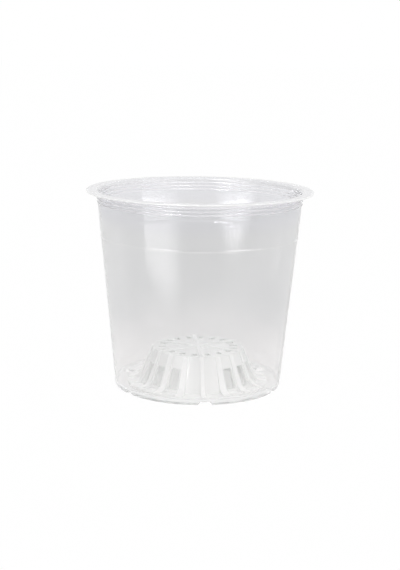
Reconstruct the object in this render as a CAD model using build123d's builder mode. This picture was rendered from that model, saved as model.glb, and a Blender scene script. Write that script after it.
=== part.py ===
"""Clear orchid pot with a slotted aeration cone standing in its floor.

Millimetres, +Z up, origin on the resting plane under the middle of the pot, front at -Y.
"""

import os
from math import radians, tan

from build123d import *

# Pot wall and rim
pot_height = 132.0
wall_top_diameter = 136.4
wall_base_diameter = 110.6
wall_thickness = 0.9
rim_width = 6.8
rim_thickness = 1.1
rim_root_radius = 0.8
rim_edge_chamfer = 0.35

# Fine rings pressed outwards through the wall, measured down from the top of the rim
ring_count = 3
ring_depth = 3.2
ring_pitch = 2.35
ring_width = 1.3
ring_height = 0.35
ring_crest_share = 0.4
band_depth = 30.6
band_width = 2.2
band_height = 0.25

# Base: a low foot ring carries a floor with a round opening for the cone
base_edge_radius = 2.4
foot_height = 0.8
foot_width = 3.0
floor_thickness = 1.2
floor_ledge = 16.4

# Drain notches through the base edge
drain_count = 6
drain_base_width = 9.6
drain_top_width = 5.0
drain_height = 3.4
drain_floor_reach = 6.0
drain_corner_radius = 1.2

# Aeration cone
cone_height = 24.0
cone_lean = 21.3
cone_wall = 1.1
crown_thickness = 1.2
cone_flange_width = 9.0
cone_flange_thickness = 1.2
cone_foot_inset = 1.4
cone_edge_radius = 0.5

# Ribs down the side of the cone, those under a spoke as narrow as it, and windows between them
rib_count = 18
rib_height = 1.2
rib_top_height = 0.6
rib_shoulder_radius = 0.4
rib_foot_width = 4.6
rib_top_width = 3.0
rib_toe_radius = 8.5
rib_toe_height = 0.4
rib_toe_margin = 0.6
panels_per_group = 6
window_width = 6.0
window_sill = 1.6
window_header = 7.0
window_corner_radius = 0.7

# Crown of the cone
hub_diameter = 9.0
spoke_count = 6
spoke_width = 2.6
spoke_height = 0.5
crown_slot_length = 5.4
crown_slot_width = 3.6
crown_slot_margin = 2.5

# Clearance of the cone's locating lip in the floor opening
seat_clearance = 0.3

# Values worked out from the sizes above
FRONT = -90.0
wall_top_radius = wall_top_diameter / 2
wall_base_radius = wall_base_diameter / 2
rim_radius = wall_top_radius + rim_width
rim_underside = pot_height - rim_thickness
floor_top = foot_height + floor_thickness
drain_pitch = 360.0 / drain_count
rib_pitch = 360.0 / rib_count


def wall_radius(height):
    """Outside radius of the tapered wall at a height above the resting plane."""
    return wall_base_radius + (wall_top_radius - wall_base_radius) * height / pot_height


def side_plane(angle, radius):
    """Upright plane at a radius, facing outwards, turned from the front by an angle."""
    across = Vector(1, 0, 0).rotate(Axis.Z, angle)
    outward = Vector(0, -1, 0).rotate(Axis.Z, angle)
    return Plane(outward * radius, x_dir=across, z_dir=outward)


inner_base_radius = wall_radius(floor_top) - wall_thickness
opening_radius = inner_base_radius - floor_ledge
foot_inner_radius = wall_base_radius - base_edge_radius - foot_width
drain_inner_radius = inner_base_radius - drain_floor_reach

# Ring crests up the wall, lowest first, each as (height, width, height of the bead)
beads = [(pot_height - band_depth, band_width, band_height)]
for index in reversed(range(ring_count)):
    beads.append((pot_height - ring_depth - index * ring_pitch, ring_width, ring_height))


def ringed_wall(inset):
    """Points up the ringed wall, lowest first, at a distance in from its outside."""
    points = []
    for crest, width, proud in beads:
        reach = width * ring_crest_share / 2
        for height, swell in (
            (crest - width / 2, 0), (crest - reach, proud), (crest + reach, proud), (crest + width / 2, 0),
        ):
            points.append((wall_radius(height) + swell - inset, height))
    return points


# Pot: one turned wall, with its rim, rings, foot and floor
with BuildPart() as pot:
    with BuildSketch(Plane.XZ) as pot_profile:
        with BuildLine():
            Polyline(
                (wall_base_radius, 0),
                *ringed_wall(0),
                (wall_radius(rim_underside), rim_underside),
                (rim_radius, rim_underside),
                (rim_radius, pot_height),
                (wall_top_radius - wall_thickness, pot_height),
                *reversed(ringed_wall(wall_thickness)),
                (inner_base_radius, floor_top),
                (opening_radius, floor_top),
                (opening_radius, foot_height),
                (foot_inner_radius, foot_height),
                (foot_inner_radius, 0),
                close=True,
            )
        make_face()
        corners = pot_profile.vertices()
        fillet(corners.sort_by_distance((wall_base_radius, 0))[0], base_edge_radius)
        corners = pot_profile.vertices()
        fillet(corners.sort_by_distance((inner_base_radius, floor_top))[0], base_edge_radius - wall_thickness)
        corners = pot_profile.vertices()
        fillet(corners.sort_by_distance((wall_radius(rim_underside), rim_underside))[0], rim_root_radius)
        corners = pot_profile.vertices()
        mouth_edge_radius = rim_root_radius + wall_thickness
        fillet(corners.sort_by_distance((wall_top_radius - wall_thickness, pot_height))[0], mouth_edge_radius)
        for edge_height in (rim_underside, pot_height):
            corners = pot_profile.vertices()
            chamfer(corners.sort_by_distance((rim_radius, edge_height))[0], rim_edge_chamfer)
    revolve(axis=Axis.Z)

    # Drain notches, open at the bottom, with rounded lips
    drain_planes = [side_plane(index * drain_pitch, drain_inner_radius) for index in range(drain_count)]
    with BuildSketch(*drain_planes) as drain_profile:
        with BuildLine():
            Polyline(
                (-drain_base_width, -drain_height),
                (-drain_base_width, 0),
                (-drain_base_width / 2, 0),
                (-drain_top_width / 2, drain_height),
                (drain_top_width / 2, drain_height),
                (drain_base_width / 2, 0),
                (drain_base_width, 0),
                (drain_base_width, -drain_height),
                close=True,
            )
        make_face()
        for side in (-1, 1):
            for lip in ((side * drain_base_width / 2, 0), (side * drain_top_width / 2, drain_height)):
                corners = drain_profile.vertices()
                fillet(corners.sort_by_distance(lip)[0], drain_corner_radius)
    extrude(amount=rim_radius - drain_inner_radius, mode=Mode.SUBTRACT)

pot.part.label = "pot"

# Cone sizes, all from the floor opening that it drops into
lip_radius = opening_radius - seat_clearance
flange_radius = opening_radius + cone_flange_width
flange_top = floor_top + cone_flange_thickness
crown_top = floor_top + cone_height
crown_underside = crown_top - crown_thickness
panel_foot_radius = opening_radius + cone_foot_inset


def panel_radius(height):
    """Outside radius of the cone's plain side at a height above the resting plane."""
    return panel_foot_radius - (height - floor_top) * tan(radians(cone_lean))


crown_radius = panel_radius(crown_top)
spoke_length = crown_radius - cone_edge_radius

# Ribs: a turned band that curves out into a toe on the flange, kept only where the rib outlines cross it
toe_top = flange_top + rib_toe_height
toe_radius = flange_radius - rib_toe_margin
with BuildPart() as ribs:
    with BuildSketch(Plane.XZ) as rib_profile:
        with BuildLine():
            Polyline(
                (panel_radius(floor_top) - cone_wall / 2, floor_top),
                (toe_radius, floor_top),
                (toe_radius, toe_top),
                (panel_radius(toe_top) + rib_height, toe_top),
                (crown_radius + rib_top_height, crown_top),
                (crown_radius - cone_wall / 2, crown_top),
                close=True,
            )
        make_face()
        corners = rib_profile.vertices()
        fillet(corners.sort_by_distance((panel_radius(toe_top) + rib_height, toe_top))[0], rib_toe_radius)
        corners = rib_profile.vertices()
        fillet(corners.sort_by_distance((crown_radius + rib_top_height, crown_top))[0], rib_shoulder_radius)
    revolve(axis=Axis.Z)
    for index in range(rib_count):
        under_spoke = index * spoke_count % rib_count == 0
        foot_width = spoke_width if under_spoke else rib_foot_width
        top_width = spoke_width if under_spoke else rib_top_width
        with BuildSketch(side_plane(index * rib_pitch, 0)):
            with BuildLine():
                Polyline(
                    (-foot_width / 2, floor_top),
                    (foot_width / 2, floor_top),
                    (top_width / 2, crown_top),
                    (-top_width / 2, crown_top),
                    close=True,
                )
            make_face()
    extrude(amount=flange_radius, mode=Mode.INTERSECT)

# Cone: flange on the floor, locating lip in the opening, leaning side and flat crown
with BuildPart() as aeration_cone:
    with BuildSketch(Plane.XZ) as cone_profile:
        with BuildLine():
            Polyline(
                (0, crown_top),
                (crown_radius, crown_top),
                (panel_radius(flange_top), flange_top),
                (flange_radius, flange_top),
                (flange_radius, floor_top),
                (lip_radius, floor_top),
                (lip_radius, foot_height),
                (lip_radius - cone_wall, foot_height),
                (lip_radius - cone_wall, floor_top),
                (panel_radius(crown_underside) - cone_wall, crown_underside),
                (0, crown_underside),
                close=True,
            )
        make_face()
        for edge in ((crown_radius, crown_top), (flange_radius, flange_top)):
            corners = cone_profile.vertices()
            fillet(corners.sort_by_distance(edge)[0], cone_edge_radius)
    revolve(axis=Axis.Z)
    add(ribs.part)

    # Windows in the lower part of the panels, none beside every sixth rib
    window_height = crown_underside - window_header - flange_top - window_sill
    window_middle = flange_top + window_sill + window_height / 2
    window_panels = [i for i in range(rib_count) if 0 < i % panels_per_group < panels_per_group - 1]
    window_planes = [side_plane((panel + 0.5) * rib_pitch, crown_radius / 2) for panel in window_panels]
    with BuildSketch(*window_planes):
        with Locations((0, window_middle)):
            RectangleRounded(window_width, window_height, window_corner_radius)
    extrude(amount=flange_radius, mode=Mode.SUBTRACT)

    # Raised hub and spokes, one spoke to every third rib
    with BuildSketch(Plane.XY.offset(crown_top)):
        Circle(hub_diameter / 2)
        with PolarLocations(spoke_length / 2, spoke_count, start_angle=FRONT):
            Rectangle(spoke_length, spoke_width)
    extrude(amount=spoke_height)

    # Short openings near the edge of the crown, one to every panel
    slot_middle = crown_radius - cone_wall - crown_slot_margin - crown_slot_length / 2
    with BuildSketch(Plane.XY.offset(crown_underside)):
        with PolarLocations(slot_middle, rib_count, start_angle=FRONT + rib_pitch / 2):
            Rectangle(crown_slot_length, crown_slot_width)
    extrude(amount=crown_thickness, mode=Mode.SUBTRACT)

aeration_cone.part.label = "aeration_cone"

os.makedirs("parts", exist_ok=True)
export_step(pot.part, "parts/pot.step")
export_step(aeration_cone.part, "parts/aeration_cone.step")
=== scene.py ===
"""Looks of the clear orchid pot and its slotted aeration cone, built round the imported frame."""

from math import asin, atan2, cos, hypot, pi, radians, sin, tan

import bmesh
import bpy
from mathutils import Matrix, Vector


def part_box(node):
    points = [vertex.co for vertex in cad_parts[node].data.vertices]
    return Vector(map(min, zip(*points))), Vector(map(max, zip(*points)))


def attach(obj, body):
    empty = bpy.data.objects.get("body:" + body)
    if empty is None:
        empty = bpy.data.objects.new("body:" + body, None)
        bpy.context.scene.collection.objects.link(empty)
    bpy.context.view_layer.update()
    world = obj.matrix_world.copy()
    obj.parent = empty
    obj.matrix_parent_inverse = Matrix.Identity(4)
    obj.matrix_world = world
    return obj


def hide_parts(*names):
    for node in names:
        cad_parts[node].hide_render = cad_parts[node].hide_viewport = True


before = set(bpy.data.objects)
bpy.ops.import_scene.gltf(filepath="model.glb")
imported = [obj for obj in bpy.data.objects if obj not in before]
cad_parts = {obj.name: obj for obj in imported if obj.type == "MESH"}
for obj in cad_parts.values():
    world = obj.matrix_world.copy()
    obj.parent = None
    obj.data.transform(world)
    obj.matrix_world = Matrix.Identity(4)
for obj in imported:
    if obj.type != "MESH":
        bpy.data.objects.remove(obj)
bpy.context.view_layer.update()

MM = 0.001

# Pot sizes in millimetres: the outer ones come from the frame
pot_low, pot_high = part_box("pot")
RIM_RADIUS = pot_high.x / MM
POT_HEIGHT = pot_high.z / MM
RIM_WIDTH = 6.8
RIM_THICKNESS = 1.1
RIM_ROOT_RADIUS = 0.8
RIM_EDGE_RADIUS = 0.5
WALL_TOP_RADIUS = RIM_RADIUS - RIM_WIDTH
WALL_BASE_RADIUS = 55.3
WALL_THICKNESS = 0.9
RING_COUNT = 3
RING_DEPTH = 3.2
RING_PITCH = 2.35
RING_WIDTH = 1.3
RING_HEIGHT = 0.35
BAND_DEPTH = 30.6
BAND_WIDTH = 2.2
BAND_HEIGHT = 0.25
BASE_EDGE_RADIUS = 2.4
FLOOR_EDGE_RADIUS = 1.2
FOOT_HEIGHT = 0.8
FOOT_WIDTH = 3.0
FLOOR_TOP = 2.0
FLOOR_LEDGE = 16.4

# Drain notches in the base edge
DRAIN_COUNT = 6
DRAIN_BASE_WIDTH = 9.6
DRAIN_TOP_WIDTH = 5.0
DRAIN_HEIGHT = 3.4
DRAIN_REACH = 6.0

# Aeration cone
SEAT_CLEARANCE = 0.3
CROWN_TOP = 26.0
CROWN_UNDERSIDE = 24.8
CONE_LEAN = 21.3
CONE_WALL = 1.1
CONE_EDGE_RADIUS = 0.5
CONE_FOOT_INSET = 1.4
FLANGE_TOP = 3.2
FLANGE_WIDTH = 9.0
RIB_COUNT = 18
RIB_HEIGHT = 1.2
RIB_TOP_HEIGHT = 0.6
TOE_RADIUS = 8.5
TOE_HEIGHT = 0.4
TOE_MARGIN = 0.6
PANELS_PER_GROUP = 6
WINDOW_SILL = 4.8
WINDOW_TOP = 17.8
HUB_RADIUS = 4.5
SPOKE_COUNT = 6
SPOKE_WIDTH = 2.6
SPOKE_HEIGHT = 0.5
SLOT_OUTER_RADIUS = 26.64
SLOT_INNER_RADIUS = 21.24

# Mesh fineness: columns round the axis, and half the columns that a notch, rib, window or slot takes up
POT_COLUMNS = 240
CONE_COLUMNS = 360
DRAIN_HALF_COLUMNS = 3
RIB_HALF_COLUMNS = 3
SPOKE_RIB_HALF_COLUMNS = 2
WINDOW_HALF_COLUMNS = 5
SLOT_HALF_COLUMNS = 4

# Mesh fineness: arc and bead segments, rows along the floor and the toes, and the rounding of edges
ARC_SEGMENTS = 3
BEAD_SEGMENTS = 10
FLOOR_SHARES = (0.3, 0.6)
TOE_SHARES_ON_FLANGE = (0, 0.17, 0.33, 0.5)
TOE_SHARES_ON_PANEL = (0.62, 0.7, 0.84, 1)
EDGE_ROUNDING = 0.22
ROUND_SEGMENTS = 2
SHARP_ANGLE = radians(40)
MERGE_DISTANCE = 0.01

# A face whose normal has at least this much Z lies level
LEVEL_NORMAL = 0.9


def wall_radius(height):
    """Outside radius of the tapered pot wall at a height."""
    return WALL_BASE_RADIUS + (WALL_TOP_RADIUS - WALL_BASE_RADIUS) * height / POT_HEIGHT


INNER_BASE_RADIUS = wall_radius(FLOOR_TOP) - WALL_THICKNESS
OPENING_RADIUS = INNER_BASE_RADIUS - FLOOR_LEDGE
DRAIN_INNER_RADIUS = INNER_BASE_RADIUS - DRAIN_REACH
FOOT_INNER_RADIUS = WALL_BASE_RADIUS - BASE_EDGE_RADIUS - FOOT_WIDTH


def panel_radius(height):
    """Outside radius of the cone's plain side at a height."""
    return OPENING_RADIUS + CONE_FOOT_INSET - (height - FLOOR_TOP) * tan(radians(CONE_LEAN))


FLANGE_RADIUS = OPENING_RADIUS + FLANGE_WIDTH
TOE_TOP = FLANGE_TOP + TOE_HEIGHT
TOE_END_RADIUS = FLANGE_RADIUS - TOE_MARGIN
CROWN_RADIUS = panel_radius(CROWN_TOP)
SPOKE_END = CROWN_RADIUS - CONE_EDGE_RADIUS
RIB_PITCH = 360 / RIB_COUNT
SPOKE_PITCH = 360 / SPOKE_COUNT
CONE_COLUMN = 360 / CONE_COLUMNS


def rib_radius(height):
    """Outside radius of a rib above its toe: it stands less proud towards the crown."""
    share = (height - TOE_TOP) / (CROWN_TOP - TOE_TOP)
    return panel_radius(height) + RIB_HEIGHT + (RIB_TOP_HEIGHT - RIB_HEIGHT) * share


def toe_point(share):
    """Point of a rib's curved toe, from the flange (0) up to the straight rib (1)."""
    lean = atan2(rib_radius(TOE_TOP) - rib_radius(CROWN_TOP), CROWN_TOP - TOE_TOP)
    start = rib_radius(TOE_TOP) + TOE_RADIUS / tan(pi / 4 + lean / 2)
    turn = share * (pi / 2 - lean)
    return start - TOE_RADIUS * sin(turn), TOE_TOP + TOE_RADIUS * (1 - cos(turn))


# Outlines, as (radius, height) points


def rounded(before, corner, after, radius, segments):
    """Points of the arc that rounds one corner of an outline."""
    corner = Vector(corner)
    back = (Vector(before) - corner).normalized()
    ahead = (Vector(after) - corner).normalized()
    half = back.angle(ahead) / 2
    centre = corner + (back + ahead).normalized() * radius / sin(half)
    start = (corner + back * radius / tan(half) - centre).normalized()
    end = (corner + ahead * radius / tan(half) - centre).normalized()
    return [tuple(centre + start.slerp(end, step / segments) * radius) for step in range(segments + 1)]


def ringed_wall(inset):
    """Points up the wall, at a distance in from its outside: rings are pressed through at one thickness."""
    rings = [(BAND_DEPTH, BAND_WIDTH, BAND_HEIGHT)]
    for index in reversed(range(RING_COUNT)):
        rings.append((RING_DEPTH + index * RING_PITCH, RING_WIDTH, RING_HEIGHT))
    points = []
    for depth, width, proud in rings:
        for step in range(BEAD_SEGMENTS + 1):
            share = step / BEAD_SEGMENTS
            height = POT_HEIGHT - depth + (share - 0.5) * width
            points.append((wall_radius(height) + proud * sin(pi * share) ** 2 - inset, height))
    return points


def pot_outline():
    """Closed section of the pot: under the floor, up the outside, over the rim and down the inside."""
    rim_underside = POT_HEIGHT - RIM_THICKNESS
    base_corner = (WALL_BASE_RADIUS, 0)
    rim_root = (wall_radius(rim_underside), rim_underside)
    rim_low = (RIM_RADIUS, rim_underside)
    rim_high = (RIM_RADIUS, POT_HEIGHT)
    mouth = (WALL_TOP_RADIUS - WALL_THICKNESS, POT_HEIGHT)
    drain_wall = (wall_radius(DRAIN_HEIGHT), DRAIN_HEIGHT)
    drain_inside = (wall_radius(DRAIN_HEIGHT) - WALL_THICKNESS, DRAIN_HEIGHT)
    floor_corner = (INNER_BASE_RADIUS, FLOOR_TOP)
    drain_end = (DRAIN_INNER_RADIUS, FLOOR_TOP)

    points = [(OPENING_RADIUS, FOOT_HEIGHT), (DRAIN_INNER_RADIUS, FOOT_HEIGHT)]
    points += [(FOOT_INNER_RADIUS, FOOT_HEIGHT), (FOOT_INNER_RADIUS, 0)]
    points += rounded(points[-1], base_corner, drain_wall, BASE_EDGE_RADIUS, ARC_SEGMENTS)
    points += [drain_wall]
    points += ringed_wall(0)
    points += rounded(points[-1], rim_root, rim_low, RIM_ROOT_RADIUS, ARC_SEGMENTS)
    points += rounded(rim_root, rim_low, rim_high, RIM_EDGE_RADIUS, ARC_SEGMENTS)
    points += rounded(rim_low, rim_high, mouth, RIM_EDGE_RADIUS, ARC_SEGMENTS)
    points += rounded(rim_high, mouth, drain_inside, RIM_ROOT_RADIUS + WALL_THICKNESS, 2 * ARC_SEGMENTS)
    points += reversed(ringed_wall(WALL_THICKNESS))
    points += [drain_inside]
    points += rounded(drain_inside, floor_corner, drain_end, FLOOR_EDGE_RADIUS, ARC_SEGMENTS)
    arc_end = Vector(points[-1])
    points += [tuple(arc_end.lerp(Vector(drain_end), share)) for share in FLOOR_SHARES]
    points += [drain_end, (OPENING_RADIUS, FLOOR_TOP)]
    return points


def cone_rows():
    """Rows up the cone's outside, each with the point that a rib has in front of it."""
    toe_end = toe_point(1)[1]
    rows = [((TOE_END_RADIUS, FLANGE_TOP), (TOE_END_RADIUS, TOE_TOP))]
    for share in TOE_SHARES_ON_FLANGE:
        rows.append(((toe_point(share)[0], FLANGE_TOP), toe_point(share)))
    toe_heights = (FLANGE_TOP, WINDOW_SILL, (WINDOW_SILL + toe_end) / 2, toe_end)
    for height, share in zip(toe_heights, TOE_SHARES_ON_PANEL):
        rows.append(((panel_radius(height), height), toe_point(share)))
    for height in (WINDOW_TOP, CROWN_UNDERSIDE, CROWN_TOP):
        rows.append(((panel_radius(height), height), (rib_radius(height), height)))
    return rows


def cone_outline():
    """Open section of the cone before its ribs: from the crown's underside, round the foot, to its top."""
    lip = OPENING_RADIUS - SEAT_CLEARANCE
    inside = lip - CONE_WALL
    top_inside = panel_radius(CROWN_UNDERSIDE) - CONE_WALL
    rows = [row for row, rib_row in cone_rows()]
    crown_radii = (HUB_RADIUS, SLOT_INNER_RADIUS, SLOT_OUTER_RADIUS)
    points = [(0, CROWN_UNDERSIDE)]
    points += [(radius, CROWN_UNDERSIDE) for radius in crown_radii]
    for height in [height for radius, height in reversed(rows) if FLANGE_TOP < height < CROWN_TOP]:
        share = (height - FLOOR_TOP) / (CROWN_UNDERSIDE - FLOOR_TOP)
        points.append((inside + (top_inside - inside) * share, height))
    points += [(inside, FLOOR_TOP), (inside, FOOT_HEIGHT), (lip, FOOT_HEIGHT), (lip, FLOOR_TOP)]
    points += [(FLANGE_RADIUS, FLOOR_TOP), (FLANGE_RADIUS, FLANGE_TOP)]
    points += rows
    points += [(SPOKE_END, CROWN_TOP)]
    points += [(radius, CROWN_TOP) for radius in reversed(crown_radii)]
    points += [(0, CROWN_TOP)]
    return points


# Mesh helpers


def turned(outline, columns, closed):
    """A bmesh of an outline in millimetres, turned once round the Z axis, first column at the front."""
    mesh = bmesh.new()
    points = [mesh.verts.new((0, -radius * MM, height * MM)) for radius, height in outline]
    pairs = list(zip(points, points[1:]))
    if closed:
        pairs.append((points[-1], points[0]))
    edges = [mesh.edges.new(pair) for pair in pairs]
    bmesh.ops.spin(
        mesh, geom=points + edges, cent=(0, 0, 0), axis=(0, 0, 1), dvec=(0, 0, 0),
        angle=2 * pi, steps=columns, use_merge=True, use_duplicate=False,
    )
    bmesh.ops.remove_doubles(mesh, verts=mesh.verts, dist=MERGE_DISTANCE * MM)
    bmesh.ops.recalc_face_normals(mesh, faces=mesh.faces)
    return mesh


def place(point):
    """(radius, height, angle from the front) of a point, in millimetres and degrees."""
    return hypot(point.x, point.y) / MM, point.z / MM, atan2(point.x, -point.y) * 180 / pi


def off_multiple(angle, pitch):
    """Signed angle from the nearest multiple of a pitch, in degrees."""
    return (angle + pitch / 2) % pitch - pitch / 2


def faces_within(mesh, middle, half_angle, radii, heights):
    """Faces whose centre lies in a wedge about a direction, between two radii and two heights."""
    found = []
    for face in mesh.faces:
        radius, height, angle = place(face.calc_center_median())
        if abs(off_multiple(angle - middle, 360)) < half_angle:
            if radii[0] < radius < radii[1] and heights[0] < height < heights[1]:
                found.append(face)
    return found


def outward(face):
    """True for a face that looks away from the axis or up."""
    centre = face.calc_center_median()
    return face.normal.x * centre.x + face.normal.y * centre.y > 0 or face.normal.z > LEVEL_NORMAL


def cut_through(mesh, faces):
    """Takes out matching faces of an outer and an inner skin and walls up the edge of the hole."""
    chosen = set(faces)
    border = [edge for face in faces for edge in face.edges]
    border = [edge for edge in set(border) if sum(face in chosen for face in edge.link_faces) == 1]
    bmesh.ops.delete(mesh, geom=faces, context="FACES")
    border = [edge for edge in border if edge.is_valid]
    bmesh.ops.bridge_loops(mesh, edges=border)
    return border


def push_out(mesh, faces, move):
    """Extrudes a region of faces, moves its points and marks it, with its new side walls, as thick."""
    grown = bmesh.ops.extrude_face_region(mesh, geom=faces)
    bmesh.ops.delete(mesh, geom=faces, context="FACES")
    for vert in [item for item in grown["geom"] if isinstance(item, bmesh.types.BMVert)]:
        move(vert)
        for face in vert.link_faces:
            face.material_index = 1


def round_edges(mesh, edges):
    """Gives edges the small rounding that a mould leaves."""
    bmesh.ops.bevel(
        mesh, geom=edges, offset=EDGE_ROUNDING * MM, offset_type="OFFSET", segments=ROUND_SEGMENTS,
        profile=0.5, affect="EDGES", clamp_overlap=True, material=-1,
    )


def finished_piece(mesh, name, *materials):
    """Turns a bmesh into an object at the origin with smooth faces and even normals."""
    bmesh.ops.recalc_face_normals(mesh, faces=mesh.faces)
    data = bpy.data.meshes.new(name)
    mesh.to_mesh(data)
    mesh.free()
    data.shade_smooth()
    for material in materials:
        data.materials.append(material)
    piece = bpy.data.objects.new(name, data)
    bpy.context.scene.collection.objects.link(piece)
    normals = piece.modifiers.new("even_normals", "WEIGHTED_NORMAL")
    normals.keep_sharp = True
    return piece


# Pieces


def pot_shell(material):
    """The clear pot: a turned wall with six drain notches through its base edge."""
    mesh = turned(pot_outline(), POT_COLUMNS, closed=True)
    half_angle = DRAIN_HALF_COLUMNS * 360 / POT_COLUMNS
    radii = (DRAIN_INNER_RADIUS, RIM_RADIUS)
    heights = (-DRAIN_HEIGHT, DRAIN_HEIGHT)
    rims = []
    for index in range(DRAIN_COUNT):
        middle = index * 360 / DRAIN_COUNT
        faces = faces_within(mesh, middle, half_angle, radii, heights)
        rims.append((middle, cut_through(mesh, faces)))
    for middle, border in rims:
        for vert in {vert for edge in border for vert in edge.verts}:
            radius, height, angle = place(vert.co)
            width = DRAIN_BASE_WIDTH + (DRAIN_TOP_WIDTH - DRAIN_BASE_WIDTH) * height / DRAIN_HEIGHT
            swing = asin(width / 2 / radius) * 180 / pi
            turn = off_multiple(angle - middle, 360) * (swing / half_angle - 1)
            vert.co = Matrix.Rotation(radians(turn), 3, "Z") @ vert.co
    round_edges(mesh, [edge for middle, border in rims for edge in border])
    return finished_piece(mesh, "pot_shell", material)


def push_out_ribs(mesh):
    """Pushes the toed ribs out of the cone's side, those under a spoke as narrow as it."""
    rows = cone_rows()

    def to_rib(vert):
        radius, height, angle = place(vert.co)
        row, rib_row = min(rows, key=lambda pair: hypot(pair[0][0] - radius, pair[0][1] - height))
        grow = rib_row[0] / radius
        vert.co = Vector((vert.co.x * grow, vert.co.y * grow, rib_row[1] * MM))

    proud = []
    for face in filter(outward, mesh.faces):
        radius, height, angle = place(face.calc_center_median())
        under_spoke = abs(off_multiple(angle, SPOKE_PITCH)) < RIB_PITCH / 2
        half_columns = SPOKE_RIB_HALF_COLUMNS if under_spoke else RIB_HALF_COLUMNS
        in_rib = abs(off_multiple(angle, RIB_PITCH)) < half_columns * CONE_COLUMN
        on_side = FLANGE_TOP - EDGE_ROUNDING < height < CROWN_TOP
        if in_rib and on_side and CROWN_RADIUS < radius < TOE_END_RADIUS:
            proud.append(face)
    push_out(mesh, proud, to_rib)


def cut_openings(mesh):
    """Cuts the windows between the ribs, none beside every sixth rib, and the short slots in the crown."""
    window_half_angle = WINDOW_HALF_COLUMNS * CONE_COLUMN
    slot_half_angle = SLOT_HALF_COLUMNS * CONE_COLUMN
    side_radii = (SLOT_OUTER_RADIUS, FLANGE_RADIUS)
    slot_radii = (SLOT_INNER_RADIUS, SLOT_OUTER_RADIUS)
    crown_heights = (CROWN_UNDERSIDE - EDGE_ROUNDING, CROWN_TOP + EDGE_ROUNDING)
    for panel in range(RIB_COUNT):
        middle = (panel + 0.5) * RIB_PITCH
        if 0 < panel % PANELS_PER_GROUP < PANELS_PER_GROUP - 1:
            window = faces_within(mesh, middle, window_half_angle, side_radii, (WINDOW_SILL, WINDOW_TOP))
            cut_through(mesh, window)
        slot = faces_within(mesh, middle, slot_half_angle, slot_radii, crown_heights)
        cut_through(mesh, slot)


def crown_faces(mesh):
    """Level faces on top of the cone's crown."""
    lowest = (CROWN_TOP - EDGE_ROUNDING) * MM
    level = [face for face in mesh.faces if face.normal.z > LEVEL_NORMAL]
    return [face for face in level if face.calc_center_median().z > lowest]


def raise_spokes(mesh):
    """Cuts the crown's faces along both sides of each spoke, then raises the spokes and the hub."""
    mesh.normal_update()
    for index in range(SPOKE_COUNT // 2):
        turn = radians(index * SPOKE_PITCH)
        across = Vector((cos(turn), sin(turn), 0))
        for side in (-1, 1):
            faces = crown_faces(mesh)
            faces = [face for face in faces if HUB_RADIUS < place(face.calc_center_median())[0] < SPOKE_END]
            edges = {edge for face in faces for edge in face.edges}
            verts = {vert for face in faces for vert in face.verts}
            bmesh.ops.bisect_plane(
                mesh, geom=[*faces, *edges, *verts], dist=MERGE_DISTANCE * MM,
                plane_co=across * side * SPOKE_WIDTH / 2 * MM, plane_no=across,
            )
    raised = []
    for face in crown_faces(mesh):
        radius, height, angle = place(face.calc_center_median())
        aside = radius * abs(sin(radians(off_multiple(angle, SPOKE_PITCH))))
        if radius < HUB_RADIUS or (radius < SPOKE_END and aside < SPOKE_WIDTH / 2):
            raised.append(face)

    def to_spoke(vert):
        vert.co.z += SPOKE_HEIGHT * MM

    push_out(mesh, raised, to_spoke)


def slotted_cone(thin, thick):
    """The milky cone: toed ribs pushed out of its side, windows between them, a spoked crown with slots."""
    mesh = turned(cone_outline(), CONE_COLUMNS, closed=False)
    push_out_ribs(mesh)
    cut_openings(mesh)
    raise_spokes(mesh)
    bmesh.ops.recalc_face_normals(mesh, faces=mesh.faces)
    folds = [edge for edge in mesh.edges if len(edge.link_faces) == 2]
    round_edges(mesh, [edge for edge in folds if edge.calc_face_angle() > SHARP_ANGLE])
    return finished_piece(mesh, "slotted_cone", thin, thick)


# Materials

POLYPROPYLENE_IOR = 1.49

# How far the paper is lifted to plain white where it is seen, directly and through the plastic
SHADOW_FADE = 0.93
SHADOW_FADE_THROUGH = 0.7

# Sockets of a Mix node by number, because several share a name: its colours, and its plain values
COLOUR_A, COLOUR_B, COLOUR_RESULT = 6, 7, 2
VALUE_A, VALUE_B = 2, 3


def linear(code):
    """Linear colour of an sRGB hex value."""
    channels = [int(code[start:start + 2], 16) / 255 for start in (0, 2, 4)]
    curve = [c / 12.92 if c <= 0.04045 else ((c + 0.055) / 1.055) ** 2.4 for c in channels]
    return (*curve, 1.0)


def add_node(tree, kind, inputs=None, **settings):
    """Adds one node; an input is a value for its socket, or another node's output to link to it."""
    node = tree.nodes.new(kind)
    for name, value in settings.items():
        setattr(node, name, value)
    for name, value in (inputs or {}).items():
        socket = node.inputs[name]
        if isinstance(value, bpy.types.NodeSocket):
            tree.links.new(value, socket)
        else:
            socket.default_value = value
    return node


def new_material(name):
    """An empty node material and its output node."""
    material = bpy.data.materials.new(name)
    material.use_nodes = True
    material.node_tree.nodes.clear()
    return material, material.node_tree, add_node(material.node_tree, "ShaderNodeOutputMaterial")


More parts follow.
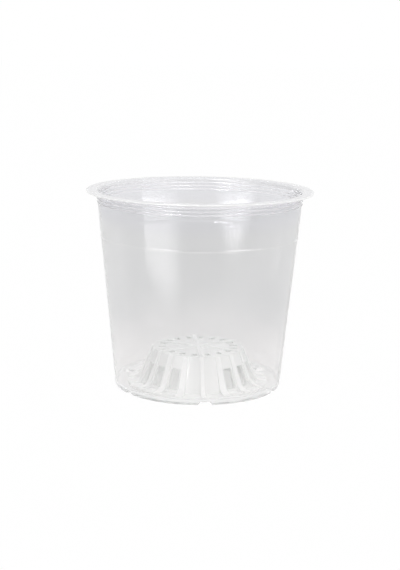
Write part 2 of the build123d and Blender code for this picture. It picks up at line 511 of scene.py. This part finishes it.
def clear_polypropylene():
    """Clarified polypropylene, moulded against polished steel."""
    # It is see-through and glossy with a faint cloud, and whiter and hazier at the rim's rounded mouth.
    # Painted on it: greyer and cooler at the top as painted shade for its darker reflections, paler
    # low down and at the foot as painted light from the white floor, though the foot is also hazier
    # where it is thick, and white crests on the rings and band and a white outer rim edge as painted
    # highlights
    material, tree, output = new_material("clear_polypropylene")
    ripple_size, ripple_depth = 25 * MM, 0.1 * MM
    cloud_size = 40 * MM
    polish, haze = 0.03, 0.09
    clearness = 0.96
    coords = add_node(tree, "ShaderNodeTexCoord").outputs["Object"]
    ripple = add_node(
        tree, "ShaderNodeTexNoise", {"Vector": coords, "Scale": 1 / ripple_size, "Detail": 1.0},
    )
    cloud = add_node(
        tree, "ShaderNodeTexNoise", {"Vector": coords, "Scale": 1 / cloud_size, "Detail": 3.0},
    )
    bump = add_node(
        tree, "ShaderNodeBump", {"Height": ripple.outputs["Fac"], "Strength": 0.1, "Distance": ripple_depth},
    )
    height = add_node(tree, "ShaderNodeSeparateXYZ", {"Vector": coords}).outputs["Z"]
    level = add_node(tree, "ShaderNodeVectorMath", {0: coords, 1: (1, 1, 0)}, operation="MULTIPLY")
    from_axis = add_node(tree, "ShaderNodeVectorMath", {0: level.outputs[0]}, operation="LENGTH")
    radius = from_axis.outputs["Value"]
    over_ring = add_node(
        tree, "ShaderNodeMath", {0: height, 1: (POT_HEIGHT - RING_DEPTH) * MM}, operation="SUBTRACT",
    )
    off_ring = add_node(
        tree, "ShaderNodeMath", {0: over_ring.outputs[0], 1: RING_PITCH / 2 * MM}, operation="PINGPONG",
    )
    over_band = add_node(
        tree, "ShaderNodeMath", {0: height, 1: (POT_HEIGHT - BAND_DEPTH) * MM}, operation="SUBTRACT",
    )
    off_band = add_node(tree, "ShaderNodeMath", {0: over_band.outputs[0]}, operation="ABSOLUTE")

    # Shares of the surface by height, by radius, or by distance from the crest of a ring or of the band,
    # each with the millimetres at which it starts and is full
    shares = {}
    for name, value, start, full in (
        ("upper", height, 108, 120), ("low", height, 58, 15), ("foot", height, 7, 3),
        ("rim", height, 129.0, 130.2), ("flange", radius, 68.6, 69.4), ("edge", radius, 74.2, 74.9),
        ("ringed", height, 122.9, 123.2), ("crest", off_ring.outputs[0], 0.65, 0.25),
        ("band", off_band.outputs[0], 0.9, 0.3),
    ):
        share = add_node(
            tree, "ShaderNodeMapRange", {"Value": value, "From Min": start * MM, "From Max": full * MM},
            interpolation_type="SMOOTHSTEP",
        )
        shares[name] = share.outputs[0]
    ring = add_node(tree, "ShaderNodeMath", {0: shares["crest"], 1: shares["ringed"]}, operation="MULTIPLY")
    shares["ring"] = ring.outputs[0]

    colour = add_node(
        tree, "ShaderNodeMix",
        {0: cloud.outputs["Fac"], COLOUR_A: linear("E7E7E8"), COLOUR_B: linear("EDEDED")}, data_type="RGBA",
    )
    # The upper tint is painted shade, greying the top for its darker reflections. The low and foot tints are
    # painted light from the white floor, though the foot is also hazier where it is thick. The ring, band and
    # edge tints are painted highlights along the crests and the rim's outer edge
    for name, code in (
        ("upper", "E7E7EA"), ("low", "F7F6F6"), ("foot", "FAFAFA"), ("ring", "F0EFF2"), ("band", "F1F1F1"),
        ("rim", "EBEBED"), ("flange", "E6E6E8"), ("edge", "FCFCFC"),
    ):
        colour = add_node(
            tree, "ShaderNodeMix",
            {0: shares[name], COLOUR_A: colour.outputs[COLOUR_RESULT], COLOUR_B: linear(code)},
            data_type="RGBA",
        )
    clear = clearness
    # The foot, rings, band, rim and edge are also less clear; on the rings, band and edge this haze carries
    # their painted highlights
    for name, loss in (("foot", 0.35), ("ring", 0.25), ("band", 0.03), ("rim", 0.65), ("edge", 0.75)):
        kept = add_node(
            tree, "ShaderNodeMath", {0: shares[name], 1: -loss, 2: clearness}, operation="MULTIPLY_ADD",
        )
        clear = add_node(
            tree, "ShaderNodeMath", {0: clear, 1: kept.outputs[0]}, operation="MINIMUM",
        ).outputs[0]
    rough = add_node(
        tree, "ShaderNodeMapRange", {"Value": cloud.outputs["Fac"], "To Min": polish, "To Max": haze},
    )
    for name, gain in (("ring", 0.2), ("rim", 0.15)):
        rough = add_node(
            tree, "ShaderNodeMath", {0: shares[name], 1: gain, 2: rough.outputs[0]},
            operation="MULTIPLY_ADD",
        )
    plastic = add_node(
        tree, "ShaderNodeBsdfPrincipled",
        {
            "Base Color": colour.outputs[COLOUR_RESULT], "Roughness": rough.outputs[0],
            "IOR": POLYPROPYLENE_IOR, "Transmission Weight": clear, "Normal": bump.outputs["Normal"],
        },
    )

    # Light on its way to a matt surface passes the wall unbent, so that it reaches the cone
    lit_through = add_node(tree, "ShaderNodeBsdfTransparent", {"Color": linear("FEFEFE")})
    path = add_node(tree, "ShaderNodeLightPath")
    surface = plastic
    for ray in ("Is Diffuse Ray", "Is Shadow Ray"):
        surface = add_node(
            tree, "ShaderNodeMixShader",
            {0: path.outputs[ray], 1: surface.outputs[0], 2: lit_through.outputs[0]},
        )
    tree.links.new(surface.outputs[0], output.inputs["Surface"])
    return material


def milky_polypropylene(name, clearness, satin, shade):
    """Polypropylene without a clarifier, moulded against satin steel."""
    # It is white and softly shiny, and lets less light through where it is thick. The steel's own grain
    # is too fine to show, so it is drawn coarser
    material, tree, output = new_material(name)
    grain_size, grain_depth = 1.5 * MM, 0.05 * MM
    cloud_size = 12 * MM
    satin_spread = 0.12
    coords = add_node(tree, "ShaderNodeTexCoord").outputs["Object"]
    grain = add_node(tree, "ShaderNodeTexNoise", {"Vector": coords, "Scale": 1 / grain_size, "Detail": 2.0})
    cloud = add_node(tree, "ShaderNodeTexNoise", {"Vector": coords, "Scale": 1 / cloud_size, "Detail": 2.0})
    bump = add_node(
        tree, "ShaderNodeBump", {"Height": grain.outputs["Fac"], "Strength": 0.1, "Distance": grain_depth},
    )
    colour = add_node(
        tree, "ShaderNodeMix",
        {0: cloud.outputs["Fac"], COLOUR_A: linear("F8F9F9"), COLOUR_B: linear("FEFEFD")}, data_type="RGBA",
    )
    rough = add_node(
        tree, "ShaderNodeMapRange",
        {"Value": cloud.outputs["Fac"], "To Min": satin, "To Max": satin + satin_spread},
    )
    plastic = add_node(
        tree, "ShaderNodeBsdfPrincipled",
        {
            "Base Color": colour.outputs[COLOUR_RESULT], "Roughness": rough.outputs["Result"],
            "IOR": POLYPROPYLENE_IOR, "Specular IOR Level": 0.25, "Transmission Weight": clearness,
            "Normal": bump.outputs["Normal"],
        },
    )

    # Lamps shine through it, dimmed
    lit_through = add_node(tree, "ShaderNodeBsdfTransparent", {"Color": linear(shade)})
    path = add_node(tree, "ShaderNodeLightPath")
    surface = add_node(
        tree, "ShaderNodeMixShader",
        {0: path.outputs["Is Shadow Ray"], 1: plastic.outputs[0], 2: lit_through.outputs[0]},
    )
    tree.links.new(surface.outputs[0], output.inputs["Surface"])
    return material


def white_paper():
    """Matt white studio paper, uncoated."""
    # It is even and without gloss. The camera sees it lifted nearly to plain white, which leaves a faint
    # shadow. Through the plastic it is lifted less, and not at all under the pot
    material, tree, output = new_material("white_paper")
    paper = add_node(tree, "ShaderNodeBsdfDiffuse", {"Color": linear("FAFAFA"), "Roughness": 0.5})
    white = add_node(tree, "ShaderNodeEmission", {"Color": linear("FFFFFF"), "Strength": 1.0})
    path = add_node(tree, "ShaderNodeLightPath")
    through = add_node(
        tree, "ShaderNodeMath",
        {0: path.outputs["Is Transmission Ray"], 1: path.outputs["Is Glossy Ray"]}, operation="MAXIMUM",
    )
    direct = add_node(
        tree, "ShaderNodeMath", {0: path.outputs["Is Camera Ray"], 1: SHADOW_FADE}, operation="MULTIPLY",
    )
    coords = add_node(tree, "ShaderNodeTexCoord").outputs["Object"]
    radius = add_node(tree, "ShaderNodeVectorMath", {0: coords}, operation="LENGTH").outputs["Value"]
    # The lift fades out towards the pot, which paints a soft shadow round it as seen through the plastic, on
    # top of the real shadow
    lift = add_node(
        tree, "ShaderNodeMapRange",
        {
            "Value": radius, "From Min": WALL_BASE_RADIUS * MM, "From Max": 3 * RIM_RADIUS * MM,
            "To Min": 0.0, "To Max": SHADOW_FADE_THROUGH,
        },
    )
    share = add_node(
        tree, "ShaderNodeMath", {0: through.outputs[0], 1: lift.outputs[0], 2: direct.outputs[0]},
        operation="MULTIPLY_ADD",
    )
    seen = add_node(
        tree, "ShaderNodeMixShader", {0: share.outputs[0], 1: paper.outputs[0], 2: white.outputs[0]},
    )
    tree.links.new(seen.outputs[0], output.inputs["Surface"])
    return material


# Studio, with its own sizes in metres

FLOOR_HALF_WIDTH = 6.0
SOFTBOX_DISTANCE = 1.2

# Level of the white surroundings as a light on matt surfaces
DIFFUSE_LEVEL = 0.75

# Reflections with fewer diffuse bounces than this show the studio as it is
FIRST_BOUNCE = 0.5


def direction(azimuth, elevation):
    """Unit vector towards an azimuth, counted from the front to the right, and an elevation, in degrees."""
    a, e = radians(azimuth), radians(elevation)
    return Vector((sin(a) * cos(e), -cos(a) * cos(e), sin(e)))


def aim(thing, target):
    """Turns a lamp or camera towards a point."""
    thing.rotation_mode = "QUATERNION"
    thing.rotation_quaternion = (Vector(target) - thing.location).to_track_quat("-Z", "Y")


def studio_floor(material):
    """A wide pale floor under the pot."""
    mesh = bmesh.new()
    bmesh.ops.create_grid(mesh, x_segments=1, y_segments=1, size=FLOOR_HALF_WIDTH)
    floor = finished_piece(mesh, "studio_floor", material)


def studio_world():
    """White surroundings, in reflections and through plastic greyer low down on the camera side."""
    dark_side, white_side, dark_level = -0.95, 0.1, 0.1
    low_sky, white_sky = 0.12, 0.5
    world = bpy.data.worlds.new("studio")
    bpy.context.scene.world = world
    world.use_nodes = True
    tree = world.node_tree
    tree.nodes.clear()
    output = add_node(tree, "ShaderNodeOutputWorld")
    towards = add_node(tree, "ShaderNodeTexCoord").outputs["Generated"]
    split = add_node(tree, "ShaderNodeSeparateXYZ", {"Vector": towards})
    behind = add_node(
        tree, "ShaderNodeMapRange",
        {
            "Value": split.outputs["Y"], "From Min": dark_side, "From Max": white_side,
            "To Min": dark_level, "To Max": 1.0,
        },
        interpolation_type="SMOOTHSTEP",
    )
    above = add_node(
        tree, "ShaderNodeMapRange",
        {
            "Value": split.outputs["Z"], "From Min": low_sky, "From Max": white_sky,
            "To Min": 0.0, "To Max": 1.0,
        },
        interpolation_type="SMOOTHSTEP",
    )
    bright = add_node(
        tree, "ShaderNodeMath", {0: behind.outputs[0], 1: above.outputs[0]}, operation="MAXIMUM",
    )
    path = add_node(tree, "ShaderNodeLightPath")
    plain = add_node(
        tree, "ShaderNodeMath", {0: path.outputs["Diffuse Depth"], 1: FIRST_BOUNCE}, operation="LESS_THAN",
    )
    mirrored = add_node(
        tree, "ShaderNodeMath",
        {0: path.outputs["Is Transmission Ray"], 1: path.outputs["Is Glossy Ray"]}, operation="MAXIMUM",
    )
    mirrored = add_node(
        tree, "ShaderNodeMath", {0: mirrored.outputs[0], 1: plain.outputs[0]}, operation="MULTIPLY",
    )
    level = add_node(
        tree, "ShaderNodeMix",
        {0: mirrored.outputs[0], VALUE_A: DIFFUSE_LEVEL, VALUE_B: bright.outputs[0]}, data_type="FLOAT",
    )
    level = add_node(
        tree, "ShaderNodeMix",
        {0: path.outputs["Is Camera Ray"], VALUE_A: level.outputs[0], VALUE_B: 1.0}, data_type="FLOAT",
    )
    backdrop = add_node(
        tree, "ShaderNodeBackground", {"Color": linear("FFFFFF"), "Strength": level.outputs[0]},
    )
    tree.links.new(backdrop.outputs[0], output.inputs["Surface"])


def softbox(name, azimuth, elevation, width, height, bow, level, upper_share):
    """A softbox seen only in reflections: it fades out to one side, with a bowed lower edge and a dim top."""
    # White diffuser cloth lit from behind: an even glow with soft edges
    dim_height, dim_fade, edge_fade = 150 * MM, 60 * MM, 85 * MM
    middle = Vector((0, 0, POT_HEIGHT / 2 * MM))
    location = middle + direction(azimuth, elevation) * SOFTBOX_DISTANCE
    dim_from = dim_height - location.z
    material, tree, output = new_material(name)
    coords = add_node(tree, "ShaderNodeTexCoord").outputs["Object"]
    split = add_node(tree, "ShaderNodeSeparateXYZ", {"Vector": coords})
    across, up = split.outputs["X"], split.outputs["Y"]
    side = add_node(
        tree, "ShaderNodeMapRange",
        {"Value": across, "From Min": width / 2, "From Max": 0.0, "To Min": 0.0, "To Max": level},
        interpolation_type="SMOOTHSTEP",
    )
    bowed = add_node(tree, "ShaderNodeMath", {0: across, 1: across}, operation="MULTIPLY")
    edge = add_node(tree, "ShaderNodeMath", {0: bowed.outputs[0], 1: -bow, 2: up}, operation="MULTIPLY_ADD")
    lower = add_node(
        tree, "ShaderNodeMapRange",
        {
            "Value": edge.outputs[0], "From Min": -height / 2, "From Max": -height / 2 + edge_fade,
            "To Min": 0.0, "To Max": 1.0,
        },
        interpolation_type="SMOOTHSTEP",
    )
    upper = add_node(
        tree, "ShaderNodeMapRange",
        {
            "Value": up, "From Min": dim_from, "From Max": dim_from + dim_fade,
            "To Min": 1.0, "To Max": upper_share,
        },
        interpolation_type="SMOOTHSTEP",
    )
    path = add_node(tree, "ShaderNodeLightPath")
    plain = add_node(
        tree, "ShaderNodeMath", {0: path.outputs["Diffuse Depth"], 1: FIRST_BOUNCE}, operation="LESS_THAN",
    )
    strength = side
    for share in (lower, upper, plain):
        strength = add_node(
            tree, "ShaderNodeMath", {0: strength.outputs[0], 1: share.outputs[0]}, operation="MULTIPLY",
        )
    glow = add_node(
        tree, "ShaderNodeEmission", {"Color": linear("FFFFFF"), "Strength": strength.outputs[0]},
    )
    tree.links.new(glow.outputs[0], output.inputs["Surface"])

    mesh = bmesh.new()
    bmesh.ops.create_grid(mesh, x_segments=1, y_segments=1, size=0.5)
    bmesh.ops.scale(mesh, vec=(width, height, 1), verts=mesh.verts)
    card = finished_piece(mesh, name, material)
    card.location = location
    card.rotation_mode = "QUATERNION"
    card.rotation_quaternion = direction(azimuth, 0).to_track_quat("-Z", "Y")
    for ray in ("camera", "diffuse", "shadow"):
        setattr(card, "visible_" + ray, False)


def studio_sun(azimuth, elevation, spread, strength):
    """The even overhead light, soft enough to leave only a faint shadow."""
    lamp = bpy.data.lights.new("overhead_light", "SUN")
    lamp.angle = radians(spread)
    lamp.energy = strength
    stand = bpy.data.objects.new("overhead_light", lamp)
    stand.location = direction(azimuth, elevation)
    aim(stand, (0, 0, 0))
    bpy.context.scene.collection.objects.link(stand)


def photo_camera():
    """The camera where the photograph was taken from, worked out from the pot's outline in it."""
    distance = 890 * MM
    azimuth, elevation, roll = -5.2, 11.5, 0.83
    focal_pixels, frame_height = 1330, 570
    middle = Vector((0, 0, POT_HEIGHT / 2 * MM))
    aim_right, aim_up = 0.85 * MM, 1.74 * MM
    data = bpy.data.cameras.new("photo_camera")
    data.sensor_width = 36.0
    data.lens = focal_pixels / frame_height * data.sensor_width
    data.clip_start, data.clip_end = 0.01, 50.0
    camera = bpy.data.objects.new("photo_camera", data)
    camera.location = middle + direction(azimuth, elevation) * distance
    aim(camera, middle + direction(azimuth + 90, 0) * aim_right + Vector((0, 0, aim_up)))
    tilt = Matrix.Rotation(radians(roll), 3, "Z").to_quaternion()
    camera.rotation_quaternion = camera.rotation_quaternion @ tilt
    bpy.context.scene.collection.objects.link(camera)
    bpy.context.scene.camera = camera


pot = pot_shell(clear_polypropylene())
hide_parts("pot")
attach(pot, "pot")

cone = slotted_cone(
    milky_polypropylene("milky_polypropylene_thin", clearness=0.15, satin=0.15, shade="E6E6E6"),
    milky_polypropylene("milky_polypropylene_thick", clearness=0.03, satin=0.5, shade="707070"),
)
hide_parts("aeration_cone")
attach(cone, "cone")

studio_floor(white_paper())
studio_world()
softbox(
    "softbox_right", azimuth=40, elevation=17.5, width=1.25, height=0.9,
    bow=0.08, level=5.2, upper_share=0.25,
)
softbox(
    "softbox_left", azimuth=-54, elevation=22, width=1.25, height=0.9,
    bow=0.3, level=9.0, upper_share=0.25,
)
softbox(
    "strip_light", azimuth=-39, elevation=35, width=0.46, height=0.48,
    bow=0.0, level=40.0, upper_share=1.0,
)
studio_sun(azimuth=24, elevation=61, spread=20, strength=0.86)
photo_camera()

scene = bpy.context.scene
scene.view_settings.view_transform = "Standard"

# Enough bounces for light that crosses both walls of the pot and of the cone
scene.cycles.max_bounces = 24
scene.cycles.diffuse_bounces = 12
scene.cycles.transmission_bounces = 24
scene.cycles.transparent_max_bounces = 24
